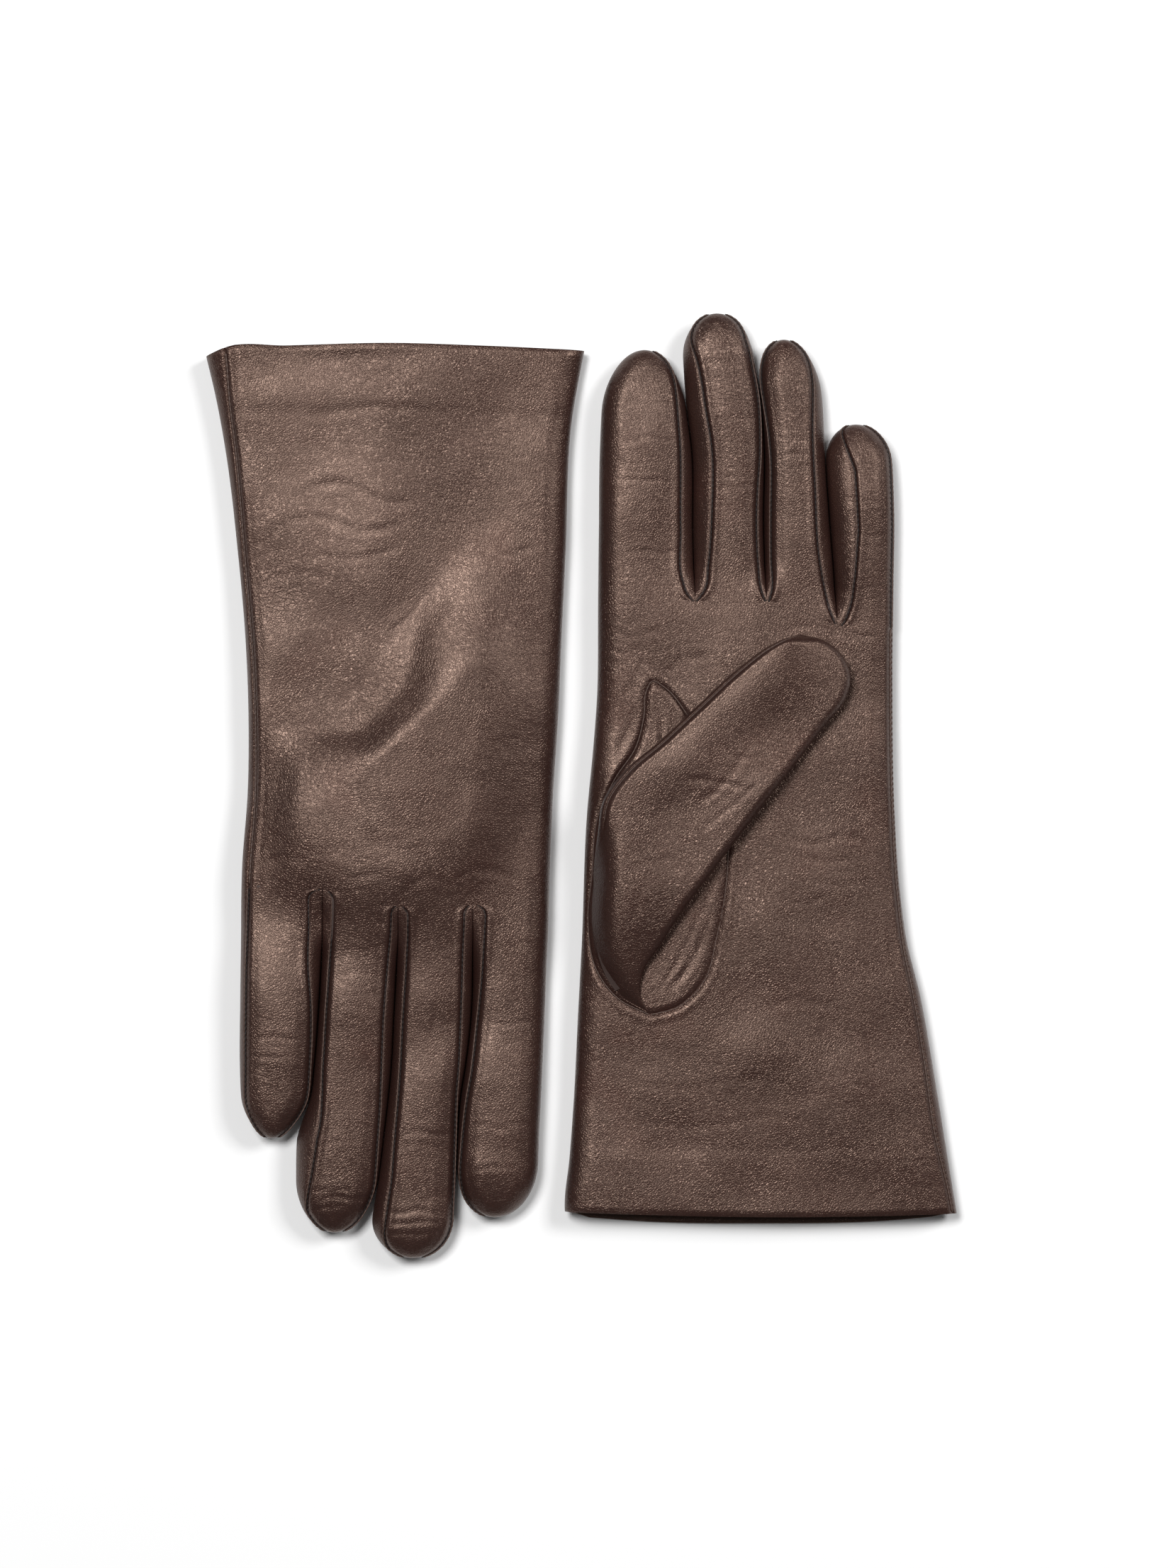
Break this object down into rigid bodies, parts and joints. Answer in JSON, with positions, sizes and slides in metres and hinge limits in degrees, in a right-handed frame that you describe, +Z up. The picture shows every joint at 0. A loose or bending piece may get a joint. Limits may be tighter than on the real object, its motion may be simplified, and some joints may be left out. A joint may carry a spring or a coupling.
{
  "type": "pair of long leather dress gloves",
  "caption": "Pair of lined brown nappa leather dress gloves with long flared cuffs, one palm up with its thumb folded across, one back up.",
  "frame": {"origin": "on the table under the centre of the pair's bounding box", "axes": "+Y along the gloves, towards the left glove's fingertips; +X across the pair from the right-hand glove to the left-hand glove; +Z up from the table"},
  "size_m": [0.2192, 0.2738, 0.0201],
  "materials": {
    "leather": "semi-gloss smooth nappa with a fine pebbled grain",
    "lining": "matt fine knit",
    "thread": "matt fine stitching and raw leather edge"
  },
  "bodies": {
    "left_hand": {"left_hand_leather": "leather", "left_hand_lining": "lining", "left_crotch_index_middle": "leather", "left_crotch_middle_ring": "leather", "left_crotch_ring_little": "leather", "left_thumb_heel": "leather", "left_thumb_quirk": "leather", "left_side_seam_thread": "thread"},
    "left_index": {"left_index_leather": "leather", "left_index_fourchette_little_side": "leather", "left_index_lining": "lining"},
    "left_middle": {"left_middle_back": "leather", "left_middle_palm": "leather", "left_middle_fourchette_index_side": "leather", "left_middle_fourchette_little_side": "leather", "left_middle_lining": "lining"},
    "left_ring": {"left_ring_back": "leather", "left_ring_palm": "leather", "left_ring_fourchette_index_side": "leather", "left_ring_fourchette_little_side": "leather", "left_ring_lining": "lining"},
    "left_little": {"left_little_back": "leather", "left_little_palm": "leather", "left_little_fourchette_index_side": "leather", "left_little_lining": "lining"},
    "left_thumb": {"left_thumb_stall": "leather", "left_thumb_lining": "lining"},
    "right_hand": {"right_hand_leather": "leather", "right_hand_lining": "lining", "right_crotch_index_middle": "leather", "right_crotch_middle_ring": "leather", "right_crotch_ring_little": "leather", "right_thumb_heel": "leather", "right_thumb_quirk": "leather", "right_side_seam_thread": "thread"},
    "right_index": {"right_index_leather": "leather", "right_index_fourchette_little_side": "leather", "right_index_lining": "lining"},
    "right_middle": {"right_middle_back": "leather", "right_middle_palm": "leather", "right_middle_fourchette_index_side": "leather", "right_middle_fourchette_little_side": "leather", "right_middle_lining": "lining"},
    "right_ring": {"right_ring_back": "leather", "right_ring_palm": "leather", "right_ring_fourchette_index_side": "leather", "right_ring_fourchette_little_side": "leather", "right_ring_lining": "lining"},
    "right_little": {"right_little_back": "leather", "right_little_palm": "leather", "right_little_fourchette_index_side": "leather", "right_little_lining": "lining"},
    "right_thumb": {"right_thumb_stall": "leather", "right_thumb_lining": "lining"}
  },
  "joints": [
    {"name": "left_index_curl", "type": "hinge", "parent": "left_hand", "child": "left_index", "pos_m": [0.01888, 0.05315, 0.011], "axis": [1, 0, 0], "range_deg": [0, 70]},
    {"name": "left_middle_curl", "type": "hinge", "parent": "left_hand", "child": "left_middle", "pos_m": [0.04358, 0.05315, 0.011], "axis": [1, 0, 0], "range_deg": [0, 70]},
    {"name": "left_ring_curl", "type": "hinge", "parent": "left_hand", "child": "left_ring", "pos_m": [0.06388, 0.04965, 0.011], "axis": [1, 0, 0], "range_deg": [0, 70]},
    {"name": "left_little_curl", "type": "hinge", "parent": "left_hand", "child": "left_little", "pos_m": [0.08248, 0.04565, 0.011], "axis": [1, 0, 0], "range_deg": [0, 70]},
    {"name": "left_thumb_lift", "type": "hinge", "parent": "left_hand", "child": "left_thumb", "pos_m": [0.02228, -0.01405, 0.0201], "axis": [0.7373, -0.6756, 0], "range_deg": [0, 60]},
    {"name": "right_glove_lift", "type": "slide", "parent": "left_hand", "child": "right_hand", "axis": [0, 0, 1], "range_m": [0, 0.12]},
    {"name": "right_index_fold_back", "type": "hinge", "parent": "right_hand", "child": "right_index", "pos_m": [-0.02032, -0.05135, 0.011], "axis": [-1, 0, 0], "range_deg": [0, 50]},
    {"name": "right_middle_fold_back", "type": "hinge", "parent": "right_hand", "child": "right_middle", "pos_m": [-0.04222, -0.05135, 0.011], "axis": [-1, 0, 0], "range_deg": [0, 50]},
    {"name": "right_ring_fold_back", "type": "hinge", "parent": "right_hand", "child": "right_ring", "pos_m": [-0.06392, -0.04785, 0.011], "axis": [-1, 0, 0], "range_deg": [0, 50]},
    {"name": "right_little_fold_back", "type": "hinge", "parent": "right_hand", "child": "right_little", "pos_m": [-0.08692, -0.04385, 0.011], "axis": [-1, 0, 0], "range_deg": [0, 50]},
    {"name": "right_thumb_hang", "type": "hinge", "parent": "right_hand", "child": "right_thumb", "pos_m": [-0.02972, 0.01505, 0], "axis": [0.6947, -0.7193, 0], "range_deg": [0, 35]}
  ],
  "couplings": [
    {"joint": "right_thumb_hang", "follows": "right_glove_lift", "rad_per_m": 5}
  ]
}
